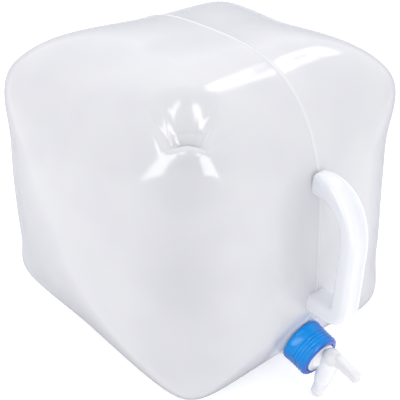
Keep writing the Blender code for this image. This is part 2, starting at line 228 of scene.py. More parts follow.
# Slow waves of a moulded surface: grain is their size and height their depth, in metres
def waveBump(tree, shader, place, grain, height, strength):
    noise = addNode(tree, "ShaderNodeTexNoise", {}, {"Scale": 1 / grain, "Detail": 2.0},
                    {"Vector": place})
    bump = addNode(tree, "ShaderNodeBump", {}, {"Strength": strength, "Distance": height},
                   {"Height": noise.outputs["Fac"]})
    tree.links.new(bump.outputs["Normal"], shader.inputs["Normal"])
    return bump


# Blow moulded low density polyethylene, under a millimetre thick: milky, satin gloss, and it lets some
# light through. Pairs of lengths are where a change starts and ends, in metres.
filmLook = {
    # Face on and edge on colours; the darker edge on colour is painted rim shade
    "faceOn": "#EEEEF0",
    "edgeOnPaintedShade": "#A6A7B2",
    "throughFaceOn": "#F2F3F7",
    "throughEdgeOnPaintedShade": "#9C9DA8",
    # Whiter where the halves met, and painted light round the neck
    "thick": "#FCFCFD",
    # Painted shade on the two front upright edges
    "frontEdgePaintedShade": "#DBDBDF",
    "cloud": "#FBFBFC",
    "turning": (0.58, 0.97),        # how far the film has turned edge on
    "seam": (0.0007, 0.0016),       # from the parting line
    # Painted light: the film is painted lighter this near the screw neck
    "neck": (0.024, 0.046),         # from the screw neck
    # Painted shade on the front upright edges grows over these ranges
    "corner": (0.0112, 0.0180),     # way off the parting line times way to the front, square metres
    "height": (0.05, 0.17),         # above the floor
    "cloudGrain": 0.045,
    "waveGrain": 0.030,
    "waveHeight": 0.0012,
    "through": 0.30,                # share of the light that comes through
}


def milkyFilm():
    f = filmLook
    smooth = {"interpolation_type": "SMOOTHSTEP"}
    times = {"operation": "MULTIPLY"}
    material, tree, shader, place = startMaterial("blowMouldedLdpeFilm")
    setShader(shader, rough=0.14, ior=1.51)
    # Seen edge on, the film is painted darker, a painted rim shade, and it shines less
    facing = addNode(tree, "ShaderNodeLayerWeight", {}, {"Blend": 0.5}).outputs["Facing"]
    low, high = f["turning"]
    rimShadeShare = addNode(tree, "ShaderNodeMapRange", {}, {1: low, 2: high, 3: 0.0, 4: 1.0}, {0: facing})
    shine = addNode(tree, "ShaderNodeMapRange", {}, {1: 0.50, 2: 0.90, 3: 0.5, 4: 0.04}, {0: facing})
    tree.links.new(shine.outputs[0], shader.inputs["Specular IOR Level"])
    # It is thicker and whiter where the mould halves met. Round the neck it is painted lighter: painted
    # light that lifts the closure's shade
    parts = addNode(tree, "ShaderNodeSeparateXYZ", {}, {}, {0: place}).outputs
    offSeam = addNode(tree, "ShaderNodeMath", {"operation": "ABSOLUTE"}, {}, {0: parts["X"]}).outputs[0]
    low, high = f["seam"]
    seam = addNode(tree, "ShaderNodeMapRange", {}, {1: low, 2: high, 3: 1.0, 4: 0.0}, {0: offSeam})
    fromNeck = addNode(tree, "ShaderNodeVectorMath", {"operation": "DISTANCE"}, {1: neck["place"]},
                       {0: place})
    low, high = f["neck"]
    neckPaintedLight = addNode(tree, "ShaderNodeMapRange", smooth, {1: low, 2: high, 3: 1.0, 4: 0.0},
                       {0: fromNeck.outputs["Value"]})
    thick = addNode(tree, "ShaderNodeMath", {"operation": "MAXIMUM"}, {},
                    {0: seam.outputs[0], 1: neckPaintedLight.outputs[0]})
    plain = addNode(tree, "ShaderNodeMix", {"data_type": "RGBA"},
                    {6: hexColor(f["faceOn"]), 7: hexColor(f["edgeOnPaintedShade"])}, {0: rimShadeShare.outputs[0]})
    whole = addNode(tree, "ShaderNodeMix", {"data_type": "RGBA"}, {7: hexColor(f["thick"])},
                    {0: thick.outputs[0], 6: plain.outputs[2]})
    # Painted shade: along the two front upright edges the colour is darkened, more so higher up
    deep = addNode(tree, "ShaderNodeMath", times, {1: -1.0}, {0: parts["Y"]}).outputs[0]
    corner = addNode(tree, "ShaderNodeMath", times, {}, {0: offSeam, 1: deep}).outputs[0]
    low, high = f["corner"]
    frontEdgePaintedShade = addNode(tree, "ShaderNodeMapRange", smooth, {1: low, 2: high, 3: 0.0, 4: 1.0}, {0: corner})
    low, high = f["height"]
    rise = addNode(tree, "ShaderNodeMapRange", {}, {1: low, 2: high, 3: 0.0, 4: 1.0}, {0: parts["Z"]})
    share = addNode(tree, "ShaderNodeMath", times, {}, {0: frontEdgePaintedShade.outputs[0], 1: rise.outputs[0]})
    frontEdgeShaded = addNode(tree, "ShaderNodeMix", {"data_type": "RGBA", "blend_type": "MULTIPLY"},
                   {7: hexColor(f["frontEdgePaintedShade"])}, {0: share.outputs[0], 6: whole.outputs[2]})
    # Its thickness is uneven, so it is a little cloudy
    noise = addNode(tree, "ShaderNodeTexNoise", {}, {"Scale": 1 / f["cloudGrain"], "Detail": 1.0},
                    {"Vector": place})
    cloud = addNode(tree, "ShaderNodeMapRange", {}, {1: 0.40, 2: 0.66, 3: 0.0, 4: 1.0},
                    {0: noise.outputs["Fac"]})
    cloudy = addNode(tree, "ShaderNodeMix", {"data_type": "RGBA", "blend_type": "MULTIPLY"},
                     {7: hexColor(f["cloud"])}, {0: cloud.outputs[0], 6: frontEdgeShaded.outputs[2]})
    tree.links.new(cloudy.outputs[2], shader.inputs["Base Color"])
    bump = waveBump(tree, shader, place, f["waveGrain"], f["waveHeight"], 0.15)
    # The light that comes through the film from behind, also painted darker edge on: painted rim shade
    inner = addNode(tree, "ShaderNodeMix", {"data_type": "RGBA"},
                    {6: hexColor(f["throughFaceOn"]), 7: hexColor(f["throughEdgeOnPaintedShade"])},
                    {0: rimShadeShare.outputs[0]})
    through = addNode(tree, "ShaderNodeBsdfTranslucent", {}, {},
                      {"Color": inner.outputs[2], "Normal": bump.outputs["Normal"]})
    mix = addNode(tree, "ShaderNodeMixShader", {}, {"Fac": f["through"]})
    tree.links.new(shader.outputs["BSDF"], mix.inputs[1])
    tree.links.new(through.outputs["BSDF"], mix.inputs[2])
    tree.links.new(mix.outputs["Shader"], tree.nodes["Material Output"].inputs["Surface"])
    return material


# Thick white polyethylene of the handle, moulded: the same plastic with the light kept inside
def handleWhite():
    material, tree, shader, place = startMaterial("mouldedWhitePolyethylene")
    setShader(shader, color=hexColor("#E4E6EB"), rough=0.26, ior=1.51, deep=0.25,
              deepScale=0.004, deepRadius=(1.0, 0.95, 0.9))
    waveBump(tree, shader, place, 0.012, 0.0004, 0.25)
    return material


# Neck of the container, where the same film is two millimetres thick
def neckWhite():
    material, _, shader, _ = startMaterial("thickMilkyLdpe")
    setShader(shader, color=hexColor("#EEF0F5"), rough=0.28, ior=1.51, deep=0.3,
              deepScale=0.003, deepRadius=(1.0, 0.97, 0.95))
    return material


# Injection moulded polypropylene, dyed blue: glossy, a little light goes into it
ringLook = {
    # The middle and side colours are painted light and painted shade, set by how the skirt faces
    "middle": "#0695EA",
    "side": "#3448A8",
    "lip": "#2650B8",
    "lipShare": 0.6,
    "lipPlace": (0.0212, 0.0246),   # along the screw axis
}


def capBlue():
    material, tree, shader, place = startMaterial("bluePolypropylene")
    setShader(shader, rough=0.18, ior=1.49, deep=0.15, deepScale=0.002, deepRadius=(0.1, 0.4, 1.0),
              shine=0.22)
    # Painted light and shade: the skirt is painted brighter in the middle and darker at its sides, for
    # the light that comes through it
    facing = addNode(tree, "ShaderNodeLayerWeight", {}, {"Blend": 0.5}).outputs["Facing"]
    side = addNode(tree, "ShaderNodeMapRange", {}, {1: 0.25, 2: 0.88, 3: 0.0, 4: 1.0}, {0: facing})
    blueWithPaintedLight = addNode(tree, "ShaderNodeMix", {"data_type": "RGBA"},
                   {6: hexColor(ringLook["middle"]), 7: hexColor(ringLook["side"])},
                   {0: side.outputs[0]})
    # The front lip is thicker, and looks darker
    along = addNode(tree, "ShaderNodeVectorMath", {"operation": "DOT_PRODUCT"}, {1: list(neckAxis)},
                    {0: place})
    low, high = float(np.array(neck["place"]) @ neckAxis) + np.array(ringLook["lipPlace"])
    lip = addNode(tree, "ShaderNodeMapRange", {}, {1: low, 2: high, 3: 0.0, 4: ringLook["lipShare"]},
                  {0: along.outputs["Value"]})
    whole = addNode(tree, "ShaderNodeMix", {"data_type": "RGBA"}, {7: hexColor(ringLook["lip"])},
                    {0: lip.outputs[0], 6: blueWithPaintedLight.outputs[2]})
    tree.links.new(whole.outputs[2], shader.inputs["Base Color"])
    waveBump(tree, shader, place, 0.006, 0.0002, 0.2)
    return material


# Painted shade: the plastic is painted greyer where it is seen edge on
def paintEdgeShade(tree, shader, front, side):
    facing = addNode(tree, "ShaderNodeLayerWeight", {}, {"Blend": 0.5}).outputs["Facing"]
    share = addNode(tree, "ShaderNodeMapRange", {}, {1: 0.45, 2: 0.95, 3: 0.0, 4: 1.0}, {0: facing})
    color = addNode(tree, "ShaderNodeMix", {"data_type": "RGBA"},
                    {6: hexColor(front), 7: hexColor(side)}, {0: share.outputs[0]})
    tree.links.new(color.outputs[2], shader.inputs["Base Color"])


# Injection moulded polypropylene with no dye: whitish, smooth
def tapWhite():
    material, tree, shader, _ = startMaterial("naturalPolypropylene")
    setShader(shader, rough=0.22, ior=1.49, deep=0.3, deepScale=0.003, deepRadius=(1.0, 0.98, 0.96))
    # The front colour, and the painted shade it gets edge on
    paintEdgeShade(tree, shader, "#F6F6FA", "#CDCFD6")
    return material


# The plug and its lever are the same plastic, moulded thin, so it looks clearer
def leverClear():
    material, tree, shader, _ = startMaterial("thinNaturalPolypropylene")
    setShader(shader, rough=0.14, ior=1.49, deep=0.4, deepScale=0.004, deepRadius=(1.0, 1.0, 1.0))
    # The front colour, and the painted shade it gets edge on
    paintEdgeShade(tree, shader, "#E1E1E3", "#BCBDC0")
    return material


# Silicone washer: white and dull
def washerSilicone():
    material, _, shader, _ = startMaterial("whiteSilicone")
    setShader(shader, color=hexColor("#E4E4DF"), rough=0.55, ior=1.41)
    return material


# Nitrile O-ring: black and dull
def sealNitrile():
    material, _, shader, _ = startMaterial("blackNitrile")
    setShader(shader, color=hexColor("#1E1E1E"), rough=0.55, ior=1.52)
    return material


film = milkyFilm()
handlePlastic = handleWhite()
neckPlastic = neckWhite()
ringPlastic = capBlue()
tapPlastic = tapWhite()
leverPlastic = leverClear()
washerRubber = washerSilicone()
sealRubber = sealNitrile()
print("materials made")


# Gives a piece its material and the body it rides on, and hides the CAD nodes it stands for. The slot
# name is not used.
def finishPiece(obj, material, slotName, body, *nodes):
    obj.data.materials.clear()
    obj.data.materials.append(material)
    if body:
        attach(obj, body)
    if nodes:
        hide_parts(*nodes)


# Container: a rounded cube of thin film, rounder halfway up its edges than at its corners
container = {
    "halfHeight": 0.147,
    "foldingDepth": 0.1505,
    "receivingDepth": 0.1426,
    "halfLength": 0.1483,
    "wall": 0.0008,
    "baseDrop": 0.146265,
    "planPower": (3.68, 10.7),
    "sidePower": (3.20, 3.64),
    "endCrown": 0.070,
    "topCrown": 0.025,
    "widen": 0.046,
    "lean": 0.085,
    "draft": 0.053,
    "cornerMove": (0.046, -0.010, -0.010),   # the near upright edge leans in, most at its top corner
    "segments": 70,
    "crowding": 1.6,
    "seamHalfWidth": 0.0011,
    "seamHeight": 0.00045,
    "seamDrop": 0.0010,
    "seamFall": (0.010, 0.030),     # on the receiving side and on the folding side
    "seamFade": (0.02, 0.10),
    "fit": (0.9994, 0.9942, 0.9984),
    "landDepth": 0.0012,            # the wall is drawn in to a flat land round the neck
    "landRadius": 0.0230,
    "landFade": 0.0250,
    "pocketDepth": 0.0250,
    "foldStart": -0.0980,           # between these two places the wall follows the end as it folds in
    "foldEnd": -0.1219,
}

# Folds across the near top corner, left by packing it flat. The wall slopes down to the valley of the
# main one from above, and under it the corner stands out again like a nose.
folds = {
    "nose": (-0.119, -0.114, 0.238),
    "area": 0.070,
    "inward": (0.55, 0.54, -0.64),
    "line": [
        (-0.1265, -0.0948, 0.2496), (-0.1224, -0.0978, 0.2543), (-0.1187, -0.0999, 0.2580),
        (-0.1147, -0.1031, 0.2602), (-0.1106, -0.1068, 0.2613), (-0.1065, -0.1109, 0.2607),
        (-0.1038, -0.1143, 0.2588), (-0.1009, -0.1179, 0.2557), (-0.0996, -0.1220, 0.2494)],
    "depth": 0.0100,
    "above": 0.0460,
    "below": 0.0032,
    "smallLine": [
        (-0.1194, -0.0917, 0.2622), (-0.1152, -0.0954, 0.2648), (-0.1109, -0.0994, 0.2664),
        (-0.1066, -0.1030, 0.2673), (-0.1022, -0.1069, 0.2667), (-0.0980, -0.1097, 0.2659),
        (-0.0946, -0.1134, 0.2631)],
    "smallDepth": 0.0009,
    "smallReach": 0.0030,
    "crest": (-0.0858, -0.0801, 0.2856),
    "crestHeight": 0.0030,
    "crestReach": 0.0190,
}

# Soft dents (place, radius, depth in metres). A swelling has a depth below zero.
dents = [
    ((-0.075, -0.150, 0.060), 0.050, 0.0012),
    ((-0.158, -0.060, 0.130), 0.060, 0.0012),
    ((-0.158, 0.060, 0.210), 0.045, 0.0010),
    ((0.080, -0.150, 0.200), 0.050, 0.0012),
    ((0.090, -0.139, 0.100), 0.060, -0.0030),
    ((0.092, -0.134, 0.036), 0.038, -0.0028),
    ((0.000, -0.145, 0.205), 0.016, -0.0010),
    ((0.000, -0.150, 0.096), 0.016, -0.0010),
]


# Points of the rounded cube from those of a plain cube that reaches from -1 to 1
def skinPoints(grid):
    c = container
    depth = np.where(grid[:, 0] < 0, c["foldingDepth"], c["receivingDepth"])
    shares = np.copysign(1 - (1 - np.abs(grid)) ** c["crowding"], grid)
    # The grid lines beside the parting line come close to it, to carry the seam's narrow ridge
    step = 2 / c["segments"]
    for line, width in ((1, c["seamHalfWidth"]), (2, c["seamHalfWidth"] * 3)):
        beside = np.abs(np.abs(grid[:, 0]) - line * step) < step / 4
        onFace = beside & (np.abs(grid[:, 0]) < 1 - step / 4)
        shares[onFace, 0] = np.sign(grid[onFace, 0]) * width / depth[onFace]
    u, v, w = np.abs(shares).T
    level = np.maximum(u * u + v * v, 0.00001)
    toCorner = (1 - (1 - np.minimum(2 * w * w / level, 1)) ** 2) ** 4
    toEdge = (2 * u * v / level) ** 2
    plan = c["planPower"][0] + (c["planPower"][1] - c["planPower"][0]) * toCorner
    side = c["sidePower"][0] + (c["sidePower"][1] - c["sidePower"][0]) * toEdge
    size = (u ** plan + v ** plan) ** (side / plan) + w ** side
    across, along, rise = (shares * (size ** (-1 / side))[:, None]).T
    endCrown = 1 + c["endCrown"] * (1 - along ** 2) * (1 - rise ** 2)
    topCrown = 1 + c["topCrown"] * (1 - across ** 2) * (1 - along ** 2)
    x = across * depth * endCrown * (1 + c["widen"] * rise)
    y = along * c["halfLength"] * (1 - c["lean"] * rise) * (1 - c["draft"] * np.abs(across))
    z = rise * c["halfHeight"] * topCrown
    z = np.maximum(z, -c["baseDrop"]) + c["baseDrop"]
    atCorner = (np.minimum(across, 0) * np.minimum(along, 0)) ** 2 * z / (2 * c["halfHeight"])
    return np.stack([x, y, z], 1) + np.outer(atCorner, c["cornerMove"])


# The front wall is drawn in to a flat round land where the neck stands
def neckLand(points):
    c = container
    fromNeck = points - np.array(neck["place"])
    height = fromNeck @ neckAxis
    radius = np.linalg.norm(fromNeck - height[:, None] * neckAxis, axis=1)
    kept = smoothStep(c["landRadius"], c["landRadius"] + c["landFade"], radius)
    excess = np.where(points[:, 1] < 0, np.maximum(height + c["landDepth"], 0), 0)
    return points - neckAxis * (excess * (1 - kept))[:, None]


# How far each point is from a line of places, the nearest place on it, and a share that is 1 in the
# line's middle and fades to nothing at both of its ends
def nearLine(points, line):
    line = np.array(line)
    away = np.full(len(points), 1.0)
    nearest = np.zeros_like(points)
    along = np.zeros(len(points))
    for i in range(len(line) - 1):
        step = line[i + 1] - line[i]
        share = np.clip((points - line[i]) @ step / (step @ step), 0, 1)
        foot = line[i] + share[:, None] * step
        gap = np.linalg.norm(points - foot, axis=1)
        closer = gap < away
        away[closer] = gap[closer]
        nearest[closer] = foot[closer]
        along[closer] = (i + share[closer]) / (len(line) - 1)
    return away, nearest, smoothStep(0, 0.42, along) * (1 - smoothStep(0.58, 1, along))


def foldCorner(points):
    f = folds
    away, nearest, ends = nearLine(points, f["line"])
    nose = np.array(f["nose"])
    above = np.linalg.norm(points - nose, axis=1) > np.linalg.norm(nearest - nose, axis=1)
    slope = (1 - np.clip(away / f["above"], 0, 1)) ** 1.2
    depth = f["depth"] * ends * np.where(above, slope, np.exp(-away / f["below"]))
    away, nearest, ends = nearLine(points, f["smallLine"])
    depth += f["smallDepth"] * ends * np.exp(-away / f["smallReach"])
    fromCrest = np.linalg.norm(points - np.array(f["crest"]), axis=1) / f["crestReach"]
    depth -= f["crestHeight"] * np.exp(-fromCrest ** 2)
    return points + np.outer(depth, f["inward"])


# The folded corner gets three times the faces in each direction
def refineNose(skin):
    points = skinPoints(getPoints(skin))
    middles = np.array([points[list(face.vertices)].mean(axis=0) for face in skin.data.polygons])
    selectFaces(skin, np.linalg.norm(middles - np.array(folds["nose"]), axis=1) < folds["area"])
    bpy.ops.mesh.subdivide(number_cuts=2)
    bpy.ops.object.mode_set(mode="OBJECT")


def makeContainer():
    c = container
    deselectAll()
    bpy.ops.mesh.primitive_cube_add(size=2)
    skin = bpy.context.object
    skin.name = "containerSkin"
    bpy.ops.object.mode_set(mode="EDIT")
    bpy.ops.mesh.select_all(action="SELECT")
    bpy.ops.mesh.subdivide(number_cuts=c["segments"] - 1)
    bpy.ops.object.mode_set(mode="OBJECT")
    refineNose(skin)
    grid = getPoints(skin)
    points = neckLand(skinPoints(grid))
    points = foldCorner(points)
    for place, reach, depth in dents:
        away = np.linalg.norm(points - np.array(place), axis=1) / reach
        inward = np.array(place) - np.array((0, 0, c["halfHeight"]))
        inward /= np.linalg.norm(inward)
        points -= inward * (depth * np.exp(-away ** 2 * 2))[:, None]
    setPoints(skin, points)
    onSeam = np.abs(grid[:, 0]) < 0.001
    flat = points[:, 2] < 0.0001
    normals = pointNormals(skin)
    points += normals * np.where(onSeam & ~flat, c["seamHeight"], 0)[:, None]
    # The solid is faceted, so the smooth skin is drawn in a little to stay inside its box
    points *= np.where(points > 0, c["fit"], 1)
    points[:, 2] = np.maximum(points[:, 2], 0)
    # The film dips beside the parting line, faster on the receiving side, and comes back further out
    off = np.abs(points[:, 0])
    reach = np.where(points[:, 0] > 0, c["seamFall"][0], c["seamFall"][1])
    fall = c["seamDrop"] * (1 - np.exp(-off / reach)) * (1 - smoothStep(*c["seamFade"], off))
    points -= normals * np.where(flat, 0, fall)[:, None]
    setPoints(skin, points)
    cleanFaces(skin, 0.00002)
    return skin


skin = makeContainer()
# The outer face of the film, which the neck's foot follows
skinTree = BVHTree.FromObject(skin, bpy.context.evaluated_depsgraph_get())

neckPiece = {
    "inside": -0.0045,
    "bore": 0.0150,
    "radius": 0.0171,
    "length": 0.0180,
    "shoulder": 0.0193,
    "shoulderGap": 0.0009,
    "boss": [
        (0.0194, -0.0016), (0.0205, -0.0030), (0.0226, -0.0052), (0.0248, -0.0078), (0.0266, -0.0105),
        (0.0280, -0.0138), (0.0290, -0.0180), (0.0305, -0.0235), (0.0325, -0.0300), (0.0345, -0.0370)],
    "threadPitch": 0.0042,
    "threadHeight": 0.0013,
    "threadStart": 0.0065,
    "threadTurns": 1.5,
    "threadCrest": 0.0005,
    "threadFoot": 0.0011,
    "rows": 60,
    "steps": 96,
    "footBlend": 0.0012,
    "footFade": (0.0285, 0.0340),
    "footSink": (0.0001, 0.0007),
    "footWall": 0.0005,
}

# A blind round pocket in the film behind the neck's mouth, where the closure's inner parts stand
cutRod(skin, "neckPocket", neckPiece["bore"], -container["pocketDepth"], container["pocketDepth"],
       neckPiece["steps"], neckTurn)
applyModifier(skin, "SOLIDIFY", "wall", thickness=container["wall"], offset=-1, use_even_offset=False)
pick(skin)
bpy.ops.object.shade_smooth()
finishPiece(skin, film, "milky_skin", None, "receiving_half", "folding_sleeve", "folding_end")
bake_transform(skin)
print("container made")


# The thread is raised on the fine rows of the mouth, right handed
def raiseThread(obj):
    n = neckPiece
    points = getPoints(obj)
    radius = np.hypot(points[:, 0], points[:, 1])
    angle = np.arctan2(points[:, 1], points[:, 0]) % (2 * math.pi)
    onWall = np.abs(radius - n["radius"]) < 0.0002
    rise = np.zeros(len(points))
    for turn in range(-1, 3):
        along = angle / (2 * math.pi) + turn
        inside = smoothStep(0, 0.06, along)
        inside *= 1 - smoothStep(n["threadTurns"] - 0.06, n["threadTurns"], along)
        away = np.abs(points[:, 2] - n["threadStart"] - along * n["threadPitch"])
        rise = np.maximum(rise, inside * (1 - smoothStep(n["threadCrest"], n["threadFoot"], away)))
    grow = 1 + np.where(onWall, rise * n["threadHeight"], 0) / np.maximum(radius, 0.001)
    points[:, 0] *= grow
    points[:, 1] *= grow
    setPoints(obj, points)


# The flared foot follows the wall, and its last rings sink just under it
def layFoot(obj):
    n = neckPiece
    points = getPoints(obj)
    place = np.array(neck["place"])
    away = Vector(neckAxis)
    for i, point in enumerate(points):
        fromNeck = point - place
        height = fromNeck @ neckAxis
        out = np.linalg.norm(fromNeck - height * neckAxis)
        if out < n["shoulder"] + 0.0002 or height > -0.001:
            continue
        # The wall is looked for from 20 mm outside the neck's own plane
        start = Vector(point - height * neckAxis) + away * 0.02
        hit = skinTree.ray_cast(start, -away, 0.09)[0]
        if hit is None:
            continue
        wall = (np.array(hit) - place) @ neckAxis
        mixed = (height + wall + math.sqrt((height - wall) ** 2 + n["footBlend"] ** 2)) / 2
        sink = n["footSink"][0] + n["footSink"][1] * smoothStep(*n["footFade"], np.array(out))
        points[i] = point + neckAxis * (mixed - sink - height)
    setPoints(obj, points)


# Neck: a screw mouth whose foot flares out into the wall of the container
def makeNeck():
    n = neckPiece
    profile = [(n["bore"], n["inside"]), (n["bore"], n["length"] - 0.0004),
               (n["bore"] + 0.0004, n["length"]), (n["radius"] - 0.0004, n["length"]),
               (n["radius"], n["length"] - 0.0004)]
    low = -n["shoulderGap"]
    for height in np.linspace(n["length"] - 0.0004, low + 0.0001, n["rows"] + 1)[1:]:
        profile.append((n["radius"], float(height)))
    profile += [(n["shoulder"] - 0.0003, low), (n["shoulder"], low - 0.0003)] + n["boss"]
    obj = turned("neckMouth", profile, n["steps"])
    # The wide end stays open under the film
    selectFaces(obj, [len(face.vertices) > 4 for face in obj.data.polygons])
    bpy.ops.mesh.delete(type="FACE")
    bpy.ops.object.mode_set(mode="OBJECT")
    raiseThread(obj)
    putOn(obj, neckTurn)
    layFoot(obj)
    cleanFaces(obj)
    applyModifier(obj, "SOLIDIFY", "foot", thickness=n["footWall"], offset=-1)
    shade(obj, 45)
    finishPiece(obj, neckPlastic, "milky_skin", "container", "threaded_neck")


makeNeck()
print("neck made")

# Carry handle: a broad D whose outer face is a shallow channel between two ridges
handle = {
    "face": -0.1901,
    "upperEnd": -0.1412,
    "lowerEnd": -0.1492,
    "bar": 0.0147,
    "halfWidth": 0.01155,
    "top": 0.215565,
    "topRoot": 0.0189,
    "bottom": 0.0875,
    "bottomRoot": 0.0168,
    "archHeight": 0.0546,
    "archDepth": 0.0430,
    "heel": 0.0179,
    "innerHeight": 0.0273,
    "innerDepth": 0.0221,
    "innerCorner": 0.0042,
    "channel": 0.0009,
    "channelSide": (0.0044, 0.0066),    # off the middle, where its floor ends and where its side does
    "channelStart": (3, 12),            # rows after the upper root over which it deepens
    "channelEnd": (26, 14),             # rows before the lower root over which it fades
    "ridge": 0.0070,
    "ridgeHeight": 0.0004,
    "ridgeWidth": 0.0016,
    "squareness": 4.2,
    "pinch": 0.22,
    "pinchRows": 22,
    "room": 0.0004,                     # drawn in by this much, to stay within the solid
    "around": 56,
    "counts": (10, 26, 24, 18, 8),      # rows of points along the five stretches, from the top
}


# Quarter of an ellipse from start to end, round the corner point
def quarter(start, corner, end, count):
    t = np.linspace(0, math.pi / 2, count)[:, None]
    start, corner, end = np.array(start), np.array(corner), np.array(end)
    centre = start + end - corner
    return centre + (start - centre) * np.cos(t) + (end - centre) * np.sin(t)


def straight(start, end, count):
    t = np.linspace(0, 1, count)[:, None]
    return np.array(start) * (1 - t) + np.array(end) * t


# The outer and inner outline of the handle, as rows of (out from the cube, height)
def handleLines():
    h = handle
    innerFace = h["face"] + h["bar"]
    innerTop = h["top"] - h["topRoot"]
    innerBottom = h["bottom"] + h["bottomRoot"]
    counts = h["counts"]
    outer = np.concatenate([
        straight((h["upperEnd"], h["top"]), (h["face"] + h["archDepth"], h["top"]), counts[0])[:-1],
        quarter((h["face"] + h["archDepth"], h["top"]), (h["face"], h["top"]),
                (h["face"], h["top"] - h["archHeight"]), counts[1])[:-1],
        straight((h["face"], h["top"] - h["archHeight"]), (h["face"], h["bottom"] + h["heel"]),
                 counts[2])[:-1],
        quarter((h["face"], h["bottom"] + h["heel"]), (h["face"], h["bottom"]),
                (h["face"] + h["heel"], h["bottom"]), counts[3])[:-1],
        straight((h["face"] + h["heel"], h["bottom"]), (h["lowerEnd"], h["bottom"]), counts[4]),
    ])
    inner = np.concatenate([
        straight((h["upperEnd"], innerTop), (innerFace + h["innerDepth"], innerTop), counts[0])[:-1],
        quarter((innerFace + h["innerDepth"], innerTop), (innerFace, innerTop),
                (innerFace, innerTop - h["innerHeight"]), counts[1])[:-1],
        straight((innerFace, innerTop - h["innerHeight"]), (innerFace, innerBottom + h["innerCorner"]),
                 counts[2])[:-1],
        quarter((innerFace, innerBottom + h["innerCorner"]), (innerFace, innerBottom),
                (innerFace + h["innerCorner"], innerBottom), counts[3])[:-1],
        straight((innerFace + h["innerCorner"], innerBottom), (h["lowerEnd"], innerBottom), counts[4]),
    ])
    return outer, inner


def makeHandle():
    h = handle
    outer, inner = handleLines()
    rows = len(outer)
    deselectAll()
    bpy.ops.mesh.primitive_grid_add(x_subdivisions=h["around"], y_subdivisions=rows - 1, size=2)
    obj = bpy.context.object
    obj.name = "carryHandle"
    grid = getPoints(obj)
    row = np.rint((grid[:, 1] + 1) / 2 * (rows - 1)).astype(int)
    angle = (grid[:, 0] + 1) * math.pi
    power = 2 / h["squareness"]
    sideways = np.copysign(np.abs(np.cos(angle)) ** power, np.cos(angle))
    outward = np.copysign(np.abs(np.sin(angle)) ** power, np.sin(angle))
    middle = (outer[row] + inner[row]) / 2
    thick = (outer[row] - inner[row]) / 2
    half = np.linalg.norm(thick, axis=1)
    # Pinched in the mould, it is a little narrower at its upper root
    narrow = 1 - h["pinch"] * (1 - smoothStep(0, h["pinchRows"], row))
    x = sideways * h["halfWidth"] * narrow
    # The channel on the outer face, with a ridge at each side of it
    ridge = np.exp(-((np.abs(x) - h["ridge"]) / h["ridgeWidth"]) ** 2) * h["ridgeHeight"]
    hollow = (1 - smoothStep(*h["channelSide"], np.abs(x))) * h["channel"]
    low, high = h["channelEnd"]
    along = smoothStep(*h["channelStart"], row) * (1 - smoothStep(rows - low, rows - high, row))
    shift = np.where(outward > 0.5, (ridge - hollow) * along, 0) - h["room"]
    reach = outward + shift / half
    yz = middle + thick * reach[:, None]
    setPoints(obj, np.stack([x, yz[:, 0], yz[:, 1]], 1))
    cleanFaces(obj)
    closeRims(obj)
    cleanFaces(obj)
    shade(obj, 60)
    finishPiece(obj, handlePlastic, "handle_white", "container", "carry_handle")


makeHandle()
print("handle made")

# Screw ring: a plain skirt with a raised rim at the back, four ribs, and a rounded front lip
ring = {
    "length": 0.0252,
    "radius": 0.0210,
    "inner": 0.0189,
    "web": 0.0023,
    "opening": 0.0157,
    "bandRadius": 0.0214,
    "bandLength": 0.0032,
    "ribCount": 4,
    "ribHeight": 0.00045,
    "ribPitch": 0.0030,
    "lip": 0.0034,
}


def makeRing():
    r = ring
    centre = (r["radius"] - r["lip"], r["length"] - r["lip"])
    cavity = r["length"] - r["web"]
    profile = [(r["opening"], r["length"] - 0.0005), (r["opening"] + 0.0005, r["length"])]
    for i in range(9):
        angle = math.pi / 2 * (1 - i / 8)
        profile.append((centre[0] + r["lip"] * math.cos(angle), centre[1] + r["lip"] * math.sin(angle)))
    top = r["length"] - r["lip"] - 0.0006
    # Each rib is a low round wave
    for i in range(r["ribCount"]):
        for k in range(8):
            wave = (1 - math.cos(2 * math.pi * k / 8)) / 2
            profile.append((r["radius"] - r["ribHeight"] * wave, top - (i + k / 8) * r["ribPitch"]))
    last = top - r["ribCount"] * r["ribPitch"]
    profile += [(r["radius"], last), (r["radius"], r["bandLength"] + 0.0009),
                (r["bandRadius"] - 0.0001, r["bandLength"] + 0.0002),
                (r["bandRadius"], r["bandLength"] - 0.0002),
                (r["bandRadius"], 0.0004), (r["bandRadius"] - 0.0004, 0.0),
                (r["inner"] + 0.0003, 0.0), (r["inner"], 0.0003), (r["inner"], cavity),
                (r["opening"], cavity)]
    obj = turned("screwRing", profile, 128, closed=True)
    putOn(obj, neckTurn)
    cleanFaces(obj)
    shade(obj, 35)
    finishPiece(obj, ringPlastic, "ring_blue", "ring", "screw_ring")


makeRing()
print("ring made")

# Tap: a flange and stem on the screw axis, then a barrel that runs down into the spout
tap = {
    "flangeRadius": 0.0170,
    "flangeBack": 0.0205,
    "flangeFront": 0.0226,
    "spigotRadius": 0.0116,
    "spigotBack": 0.0173,
    "domeRadius": 0.0149,
    "stemRadius": 0.0067,
    "stemBore": 0.0045,
    "barrelRadius": 0.0084,
    "barrelBore": 0.0070,
    "barrelTop": 0.0091,
    "barrelBottom": 0.0158,
    "spoutRadius": 0.0061,
    "spoutBore": 0.0047,
    "spoutLength": 0.0362,
    "taper": 0.0116,
    "seat": 0.0145,
    "coreReach": (-0.014, 0.008),
}


